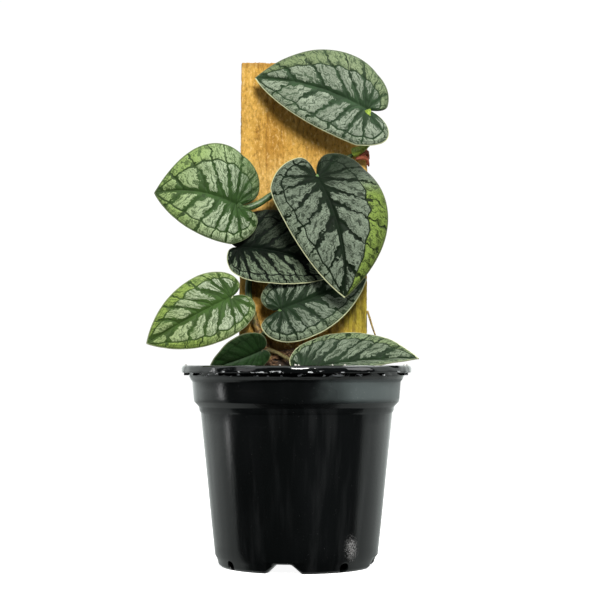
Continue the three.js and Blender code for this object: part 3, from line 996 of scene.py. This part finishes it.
# Stalk colours, deep and light.
PLAIN_STALK = ((0.055, 0.12, 0.035), (0.15, 0.26, 0.09))
STALKS = {
    # Painted light: the top stalk's greens are lightened because it stands in the top blade's shade.
    "top": ((0.20, 0.31, 0.040), (0.38, 0.53, 0.080)),
    "upper_left": ((0.026, 0.062, 0.018), (0.085, 0.15, 0.050)),
    "lower_left": ((0.30, 0.36, 0.20), (0.52, 0.56, 0.38)),
    "front_right": ((0.07, 0.06, 0.020), (0.16, 0.13, 0.05)),
    "base_left": ((0.05, 0.05, 0.016), (0.12, 0.11, 0.04)),
}


def stalk_paint(name):
    paint = Paint(f"leaf stalk {name}")
    streak = paint.grain((800, 800, 700), detail=3)
    fleck = paint.noise(paint.place(), 1500, detail=2)
    deep, light = STALKS.get(name, PLAIN_STALK)
    green = paint.mix(paint.ramp(streak, 0.38, 0.62), deep, light)
    colour = paint.mix(paint.ramp(fleck, 0.56, 0.66) * 0.5, green, shade(light, 1.6))
    return paint.finish(colour, 0.42, paint.bump(streak, 0.0003, 0.5))


def root_paint():
    paint = Paint("aerial roots")
    where = paint.place()
    z = paint.split(where, "Z")[0]
    twist = paint.noise(where, 800, detail=4, rough=0.65)
    red = paint.mix(paint.ramp(twist, 0.38, 0.62), (0.12, 0.022, 0.010), (0.27, 0.065, 0.024))
    old = paint.mix(paint.ramp(twist, 0.38, 0.62), (0.10, 0.055, 0.014), (0.42, 0.30, 0.07))
    colour = paint.mix(paint.ramp(z, 0.200, 0.165), red, old)
    return paint.finish(colour, 0.75, paint.bump(twist, 0.0005, 0.8))


def stem_radii(points):
    """The stem thins towards its tip and swells at each leaf's node."""
    radii = []
    for i, (x, y, z) in enumerate(points):
        along = i / (len(points) - 1)
        swell = sum(math.exp(-((z - leaf["node"]) / 1.6) ** 2) for leaf in LEAVES.values())
        rough = noise.noise(Vector((x / 2, y / 2, z / 2)))
        end = min(1.0, (1 - along) * 16 + 0.35)
        radii.append((STEM_RADIUS - 0.25 * along + 0.30 * min(1.0, swell) + 0.10 * rough) * end)
    return radii


def stem_skin(height, direction, clearance):
    """A point beside the stem at a height, on the side that a direction leaves it."""
    points = smooth_path(STEM_PATH, 400)
    nearest = min(len(points) - 2, int(np.argmin(np.abs(points[:, 2] - height))))
    tangent = Vector(points[nearest + 1] - points[nearest - 1]).normalized()
    direction = Vector(direction)
    out = (direction - tangent * direction.dot(tangent)).normalized()
    return Vector(points[nearest]) + out * clearance


def stalk_points(leaf):
    """A stalk from inside the stem's skin to the back of the blade's joint."""
    leave = Vector(leaf["leave"])
    start = stem_skin(leaf["node"], leave, 1.0)
    face = blade_frame(leaf).col[2].to_3d()
    end = Vector(leaf["joint"]) - face * (leaf["stalk"] * 0.55)
    if leaf["via"]:
        return list(smooth_path([start, *leaf["via"], end], 24))
    knee = (stem_skin(leaf["node"], leave, STEM_RADIUS + leaf["stalk"]) + leave).lerp(end, 0.25)
    return [start.lerp(knee, t).lerp(knee.lerp(end, t), t) for t in np.linspace(0, 1, 20)]


def stalk_radii(leaf, count):
    thick = leaf["stalk"] * leaf["swell"]
    return [thick * (1.22 - 0.45 * min(1, i / 5) + 0.16 * (i / count) ** 2) for i in range(count)]


class MONSTERA_OT_stem(bpy.types.Operator):
    """Grow the stem up the plank, swollen at its nodes and woody at its foot."""
    bl_idname = "monstera.stem"
    bl_label = "Climbing stem"

    def execute(self, context):
        points = smooth_path(STEM_PATH, 90)
        obj = tube("stem", points, stem_radii(points))
        hand_over(obj, "stem_green", ["climbing_stem"], stem_paint())
        return {"FINISHED"}


class MONSTERA_OT_stalks(bpy.types.Operator):
    """Grow one stalk to each blade."""
    bl_idname = "monstera.stalks"
    bl_label = "Leaf stalks"

    def execute(self, context):
        for name, leaf in LEAVES.items():
            points = stalk_points(leaf)
            obj = tube(f"stalk_{name}", points, stalk_radii(leaf, len(points)))
            hand_over(obj, "stem_green", [f"petiole_{name}"], stalk_paint(name))
        return {"FINISHED"}


class MONSTERA_OT_roots(bpy.types.Operator):
    """Grow the thin aerial roots."""
    bl_idname = "monstera.roots"
    bl_label = "Aerial roots"

    def execute(self, context):
        material = root_paint()
        along = np.linspace(0, 1, ROOT_STEPS)
        for name, (radius, path) in ROOTS.items():
            strands = []
            for stray in CLUMP if "edge" in name else SINGLE:
                points = smooth_path(path, ROOT_STEPS) + along[:, None] * np.array(stray)
                rough = [noise.noise(Vector(point) / 1.1) for point in points]
                radii = radius * (1.12 - 0.5 * along ** 2 + 0.16 * np.array(rough))
                strands.append(tube(f"{name}_fine", points, radii))
            hand_over(joined(strands), "root_brown", [name], material)
        return {"FINISHED"}


# ---------------------------------------------------------------- blades

def cubic(a, b, c, d, t):
    """Points on a Bezier curve through a and d, drawn towards b and c."""
    a, b, c, d = (np.array(p) for p in (a, b, c, d))
    t = t[:, None]
    return (1 - t) ** 3 * a + 3 * (1 - t) ** 2 * t * b + 3 * (1 - t) * t * t * c + t ** 3 * d


def half_edge(length, half):
    """One half's margin as a function of the share of its length, joint 0 and tip 1."""
    reach, at, lobe, crest = half
    rest = length - at
    steps = np.linspace(0, 1, 160)
    margin = np.concatenate([
        cubic((0, 0), (0.08 * crest, -0.55 * lobe), (0.45 * crest, -lobe), (crest, -lobe), steps)[:-1],
        cubic((crest, -lobe), (crest + 0.6 * (reach - crest), -lobe),
              (reach, at - 0.5 * (at + lobe)), (reach, at), steps)[:-1],
        cubic((reach, at), (reach, at + 0.5 * rest),
              (0.42 * reach, at + 0.84 * rest), (0, length), steps),
    ])
    run = np.concatenate([[0], np.cumsum(np.linalg.norm(np.diff(margin, axis=0), axis=1))])
    run /= run[-1]
    return lambda t: np.stack([np.interp(t, run, margin[:, i]) for i in range(2)], axis=1)


def blade_length(leaf):
    return (Vector(leaf["tip"]) - Vector(leaf["joint"])).length


def flat_points(length, edge, t, s):
    """Places in a flat half blade: rows t fan from the midrib (s 0) out to the margin (s 1)."""
    outer = edge(t)
    start = length * np.maximum(0, (t - FAN) / (1 - FAN)) ** 2.1
    middle = np.stack([0.52 * outer[:, 0], start + 0.50 * (outer[:, 1] - start)], axis=1)
    inner = np.stack([0 * start, start], axis=1)
    s = s[:, None]
    return (1 - s) ** 2 * inner + 2 * s * (1 - s) * middle + s * s * outer


def blade_frame(leaf):
    """The blade's own axes: across, along the midrib to the tip, and out of its face."""
    joint, tip = Vector(leaf["joint"]), Vector(leaf["tip"])
    along = (tip - joint).normalized()
    face = (Vector((0, -1, 0)) + along * along.y).normalized()
    turn = Matrix.Rotation(-math.radians(leaf["roll"]), 3, along)
    columns = Matrix((turn @ along.cross(face), along, turn @ face)).transposed()
    return Matrix.Translation(joint) @ columns.to_4x4()


def ripple(points, size, seed):
    return np.array([noise.noise(Vector((x / size, y / size, seed))) for x, y in points])


def gully(distance, width):
    """1 at a vein and 0 away from it."""
    return np.exp(-(distance / width) ** 2)


def half_blade(leaf, side, t, s, settings):
    """Bent places of one half in the blade's own frame, with the measures that its paint reads."""
    which = 0 if side > 0 else 1
    half = (leaf["right"], leaf["left"])[which]
    roll = leaf["edge_roll"][which]
    length = blade_length(leaf)
    edge = half_edge(length, half)
    flat = flat_points(length, edge, t, s)
    inner = flat_points(length, edge, t, 0 * s)
    row_length = np.linalg.norm(flat_points(length, edge, t, 0 * s + 1) - inner, axis=1)
    out = np.linalg.norm(flat - inner, axis=1)
    step = 1e-3
    later, further = np.minimum(1 - step, t) + step, np.minimum(1, s + step)
    across = (flat_points(length, edge, later, s) - flat_points(length, edge, later - step, s)) / step
    along = flat_points(length, edge, t, further) - flat_points(length, edge, t, s - step)
    along /= np.maximum(1e-9, np.linalg.norm(along, axis=1))[:, None]
    gap = np.abs(across[:, 0] * along[:, 1] - across[:, 1] * along[:, 0]) / settings.veins
    mirrored = flat * (side, 1)
    seed = leaf["seed"]
    spacing = np.array([noise.noise(Vector((4 * v, side, seed))) for v in t])
    row = t * settings.veins + ROW_START[which] + 0.45 * spacing + 0.16 * ripple(mirrored, 7, seed)
    vein = (0.5 - np.abs(row % 1 - 0.5)) * gap
    scallop = 0.05 * (0.5 - np.abs(2 * (row % 1) - 1))
    centre = leaf["ring"][which] + 0.03 * ripple(mirrored, 4, seed + 3) + scallop
    past = (s - centre) * row_length
    rise = settings.relief / MM * leaf["smooth"]
    room = np.minimum(1, np.minimum(out / 4, (1 - s) * row_length / 2))
    relief = rise * room * (1 - gully(vein, VEIN_WIDTH) - 0.55 * gully(past, RING_WIDTH))
    relief -= 0.5 * gully(flat[:, 0], MIDRIB_WIDTH) * np.clip((length - flat[:, 1]) / 12, 0, 1)
    relief += 0.16 * room * ripple(mirrored, 2.1, seed + 5)
    wave = 0.9 * s ** 3 * np.array([noise.noise(Vector((7 * v, 4 * side, seed + 9))) for v in t])
    turned = -roll * np.maximum(0, (s - 0.70) / 0.30) ** 2 * np.sin(np.pi * np.clip(t, 0, 1)) ** 0.7
    arc = 4 * (flat[:, 1] / length) * (1 - flat[:, 1] / length)
    fold = math.radians(leaf["fold"])
    x = side * flat[:, 0] * math.cos(fold) + leaf["sweep"] * np.maximum(0, arc)
    z = flat[:, 0] * math.sin(fold) - leaf["curl"] * (flat[:, 0] / half[0]) ** 2 + leaf["bow"] * arc
    place = np.stack([x, flat[:, 1], z + relief + wave + turned], axis=1)
    return place, {"row": row, "gap": gap, "out": out, "rim": (1 - s) * row_length, "past": past,
                   "reach": side * s, "flat_x": mirrored[:, 0], "flat_y": mirrored[:, 1]}


def blade(name, leaf, settings):
    """One blade: a fine grid shaped by the leaf's outline, bend and veins, then given thickness."""
    bpy.ops.mesh.primitive_grid_add(x_subdivisions=ROWS_ACROSS, y_subdivisions=ROWS_ALONG, size=2)
    obj = named(name)
    values = coordinates(obj.data)
    t, s = (values[:, 1] + 1) / 2, values[:, 0].copy()
    measures = {}
    for side, pick in ((1, s >= 0), (-1, s < 0)):
        place, found = half_blade(leaf, side, t[pick], np.abs(s[pick]), settings)
        values[pick] = place
        for key, numbers in found.items():
            measures.setdefault(key, np.zeros(len(t)))[pick] = numbers
    for key, numbers in measures.items():
        layer = obj.data.attributes.new(key, "FLOAT", "POINT")
        layer.data.foreach_set("value", numbers.astype(np.float32))
    set_coordinates(obj.data, values)
    clean(obj, 0.02, outward=False)
    obj.data.transform(Matrix.Translation(AXIS) @ Matrix.Scale(MM, 4) @ blade_frame(leaf))
    modify(obj, "SOLIDIFY", thickness=settings.thickness, offset=0)
    smooth(obj, 70)
    return obj


def blade_paint(name, leaf):
    """Silver patches between dark green veins, with painted light through the blade and painted shade
    on some lobes, worked out from the measures each blade carries.
    """
    style, seed, depth = STYLES[leaf["style"]], leaf["seed"], leaf["depth"]
    paint = Paint(f"blade {name}")
    measures = ("row", "gap", "out", "rim", "past", "reach", "flat_x", "flat_y")
    row, gap, out, rim, past, reach, x, y = (paint.attribute(key) for key in measures)

    def by_side(key):
        right, left = leaf[key]
        return paint.ramp(reach, -0.03, 0.03, left, right)

    flat = paint.join(x, y, float(seed))
    row = row + (paint.noise(flat, 0.40, detail=3) - 0.5) * 0.55
    flame = paint.noise(paint.join(row * 8, out * 0.17, seed + reach), 1.0, detail=4, rough=0.7) - 0.5
    hair = paint.noise(paint.join(row * 10, out * 0.24, seed + 4.0), 1.0, detail=3, rough=0.6)
    mottle = paint.noise(flat, 0.16, detail=2)
    grit = paint.noise(flat, 1.7, detail=3, rough=0.7)
    near_joint = 1 / (1 + out * out * 0.03)
    beyond = paint.ramp(past, -0.3, 0.3)
    tip_share = paint.ramp(y, 0.0, blade_length(leaf))
    main = (0.5 - abs(row.fraction() - 0.5)) * gap
    second = (0.5 - abs((row + 0.5).fraction() - 0.5)) * gap
    third = (0.5 - abs((row * 2 + 0.5).fraction() - 0.5)) * gap * 0.5
    width = (0.55 + 1.70 * near_joint) * (1 - 0.16 * beyond)
    patch = paint.ramp(main + flame * 3.4 - width, -0.08, 0.20)
    split = paint.ramp(second + flame * 1.6 - 0.30 * near_joint, 0.06, 0.26)
    radius = (x * x + y * y) ** 0.5
    heart = paint.ramp(radius + flame * 7, 3.2, 5.6)
    rib = paint.ramp(abs(x) + flame * 2.8, 2.0 - 1.30 * tip_share, 2.5 - 1.42 * tip_share)
    clear_ring = paint.ramp(abs(past) + flame * 1.2 + (grit - 0.5) * 0.6, 0.34, 0.66)
    clear_rim = paint.ramp(rim, 0.60, 1.05)
    rim_vein = paint.ramp(abs(rim - 1.9) + (grit - 0.5) * 0.5, 0.08, 0.28)
    mask = patch * (0.30 - 0.15 * beyond + (0.70 + 0.15 * beyond) * split)
    mask = mask * heart * rib * clear_ring * (0.3 + 0.7 * clear_rim) * (0.55 + 0.45 * rim_vein)
    mask = mask * (1 - 0.80 * paint.ramp(hair, 0.51, 0.59)) * (1 - 0.5 * paint.ramp(grit, 0.55, 0.68))
    veinlet = paint.ramp(paint.cracks(flat, 0.62), 0.02, 0.10)
    threads = paint.ramp(third + flame * 1.1, 0.02, 0.16)
    mask = mask * (0.66 + 0.34 * veinlet) * (0.62 + 0.38 * threads) * by_side("bloom") * 1.10
    patchy = paint.ramp(mottle, 0.35, 0.65)
    vein_green = shade(style["dark"], depth)
    dark = paint.mix(patchy, vein_green, shade(vein_green, 1.5))
    pale = paint.mix(patchy, style["pale"], shade(style["pale"], 0.72))
    # Tint: the edge colour painted as light shining through the outer strip, and through the blade
    # towards its tip.
    lobe = paint.ramp(y, leaf["light_through_from"], leaf["light_through_from"] + 12.0)
    tint = (by_side("tint") * beyond * lobe + leaf["tip_light_through"] * tip_share).at_most(1.0)
    green = paint.mix(tint * 0.30, dark, shade(style["edge"], 0.30))
    # Dim: painted shade on a lobe that lies in another blade's shade.
    dim = by_side("dim") * paint.ramp(y, 12.0, -4.0)
    core = paint.ramp(main.at_most(abs(past) + 0.1), 0.42, 0.05) * 0.6
    deep = paint.mix(core, green, shade(vein_green, 0.4))
    # Glint: painted light that brightens the outer strip, which bends away from the lamps.
    glint = beyond * 0.22 * (1 - tint)
    bright = paint.mix(glint, paint.mix(tint, pale, style["edge"]), shade(style["pale"], 1.5))
    body = paint.mix(mask * (1 - dim), deep, bright)
    midline = paint.ramp(abs(x), 0.24, 0.06) * tip_share * 0.22
    lined = paint.mix(midline, body, shade(style["pale"], 0.4))
    margin = paint.ramp(rim + (grit - 0.5) * 0.2, 0.62, 0.36) * by_side("margin")
    colour = paint.mix(margin, lined, CREAM_MARGIN)
    rough = 0.46 + 0.12 * mask + 0.10 * grit
    height = mask * 0.35 + grit * 0.45 - hair * 0.35 + veinlet * 0.2
    normal = paint.bump(height, 0.00034, 0.7)
    return paint.finish(colour, rough, normal, specular=0.04 + 0.09 * depth)


class MONSTERA_OT_blades(bpy.types.Operator):
    """Shape the leaf blades one by one, veins and all."""
    bl_idname = "monstera.blades"
    bl_label = "Leaf blades"

    def execute(self, context):
        for name, leaf in LEAVES.items():
            obj = blade(f"blade_{name}", leaf, context.scene.monstera_blades)
            slot = STYLES[leaf["style"]]["slot"]
            hand_over(obj, slot, [f"leaf_{name}"], blade_paint(name, leaf))
        return {"FINISHED"}


# ---------------------------------------------------------------- stage

def area_light(name, place, target, size, power, colour):
    """A soft rectangular light that faces the target."""
    bpy.ops.object.light_add(type="AREA", location=place)
    light = bpy.context.object
    light.name = name
    light.rotation_euler = (target - place).to_track_quat("-Z", "Y").to_euler()
    light.data.shape = "RECTANGLE"
    light.data.size, light.data.size_y = size
    light.data.energy = power
    light.data.color = colour


def studio_world(backdrop):
    """White to the eye, dim to light by, and bright behind and overhead in reflections."""
    world = bpy.data.worlds.new("studio")
    world.use_nodes = True
    bpy.context.scene.world = world
    tree = world.node_tree
    tree.nodes.clear()
    link = tree.links.new
    where = tree.nodes.new("ShaderNodeTexCoord")
    split = tree.nodes.new("ShaderNodeSeparateXYZ")
    link(where.outputs["Generated"], split.inputs[0])

    def step(axis, low, high, start, end):
        node = tree.nodes.new("ShaderNodeMapRange")
        node.interpolation_type = "SMOOTHSTEP"
        for key, value in {"From Min": low, "From Max": high, "To Min": start, "To Max": end}.items():
            node.inputs[key].default_value = value
        link(split.outputs[axis], node.inputs["Value"])
        return node.outputs[0]

    def light(strength, colour=(1, 1, 1)):
        node = tree.nodes.new("ShaderNodeBackground")
        node.inputs["Color"].default_value = (*colour, 1)
        if isinstance(strength, float):
            node.inputs["Strength"].default_value = strength
        else:
            link(strength, node.inputs["Strength"])
        return node.outputs[0]

    def choose(ray, first, second):
        path = tree.nodes.new("ShaderNodeLightPath")
        blend = tree.nodes.new("ShaderNodeMixShader")
        for socket, source in zip(blend.inputs, (path.outputs[ray], first, second)):
            link(source, socket)
        return blend.outputs[0]

    def reckon(operation, first, second):
        node = tree.nodes.new("ShaderNodeMath")
        node.operation = operation
        link(first, node.inputs[0])
        link(second, node.inputs[1])
        return node.outputs[0]

    level = step("Z", -0.22, -0.03, 0.50, 1.15)
    behind = reckon("MULTIPLY", step("Y", -0.08, 0.05, 0.008, 1.0), level)
    brightest = reckon("MAXIMUM", behind, step("Z", 0.45, 0.66, 0.0, 1.6))
    dim = light(step("Z", -0.1, 0.9, 0.04, 0.22))
    seen = choose("Is Glossy Ray", dim, light(brightest, (0.93, 1.0, 0.97)))
    output = tree.nodes.new("ShaderNodeOutputWorld")
    link(choose("Is Camera Ray", seen, light(1.1, backdrop)), output.inputs["Surface"])


def floor_paint(backdrop):
    paint = Paint("pale floor")
    paint.feed(paint.shader.inputs["Emission Color"], tuple(backdrop))
    return paint.finish(tuple(backdrop), 0.9, specular=0.0, glow=1.0)


class MONSTERA_OT_stage(bpy.types.Operator):
    """Lay a pale floor, hang soft studio lights and set the camera."""
    bl_idname = "monstera.stage"
    bl_label = "Stage"

    def execute(self, context):
        settings = context.scene.monstera_stage
        backdrop = tuple(settings.backdrop)
        bpy.ops.mesh.primitive_plane_add(size=12, location=AXIS)
        floor = named("floor")
        settle(floor)
        floor.data.materials.append(floor_paint(backdrop))
        floor.visible_glossy = False
        floor.visible_diffuse = False
        studio_world(backdrop)
        middle = real((0, 0, MIDDLE_HEIGHT))
        for name, (place, size, power, colour) in LIGHTS.items():
            area_light(name, middle + Vector(place), middle, size, power, colour)
        camera = bpy.data.objects.new("camera", bpy.data.cameras.new("camera"))
        context.scene.collection.objects.link(camera)
        camera.location = real((CAMERA_SIDE, -settings.distance / MM, CAMERA_HEIGHT))
        camera.rotation_euler = (math.pi / 2 + settings.tilt, 0, 0)
        camera.data.lens = settings.lens
        camera.data.sensor_width = 36
        camera.data.clip_start, camera.data.clip_end = 0.01, 30
        context.scene.camera = camera
        context.scene.view_settings.view_transform = "Standard"
        return {"FINISHED"}


# ---------------------------------------------------------------- panel and run

OPERATORS = (
    MONSTERA_OT_pot, MONSTERA_OT_mix, MONSTERA_OT_plank, MONSTERA_OT_stem, MONSTERA_OT_stalks,
    MONSTERA_OT_roots, MONSTERA_OT_blades, MONSTERA_OT_stage,
)


class MONSTERA_PT_panel(bpy.types.Panel):
    """Lists the pieces of the potted monstera."""
    bl_label = "Potted monstera"
    bl_idname = "MONSTERA_PT_panel"
    bl_space_type = "VIEW_3D"
    bl_region_type = "UI"
    bl_category = "Monstera"

    def draw(self, context):
        for operator in OPERATORS:
            self.layout.operator(operator.bl_idname)
        for key in SETTINGS:
            settings = getattr(context.scene, key)
            box = self.layout.box()
            for name in settings.bl_rna.properties.keys():
                if name not in {"rna_type", "name"}:
                    box.prop(settings, name)


CLASSES = (*SETTINGS.values(), *OPERATORS, MONSTERA_PT_panel)


def register():
    for item in CLASSES:
        bpy.utils.register_class(item)
    for key, settings in SETTINGS.items():
        setattr(bpy.types.Scene, key, PointerProperty(type=settings))


def unregister():
    for key in SETTINGS:
        delattr(bpy.types.Scene, key)
    for item in reversed(CLASSES):
        bpy.utils.unregister_class(item)


def main():
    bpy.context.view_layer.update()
    register()
    bpy.ops.object.select_all(action="DESELECT")
    for operator in OPERATORS:
        group, name = operator.bl_idname.split(".")
        getattr(getattr(bpy.ops, group), name)()
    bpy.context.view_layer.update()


if __name__ == "__main__":
    main()
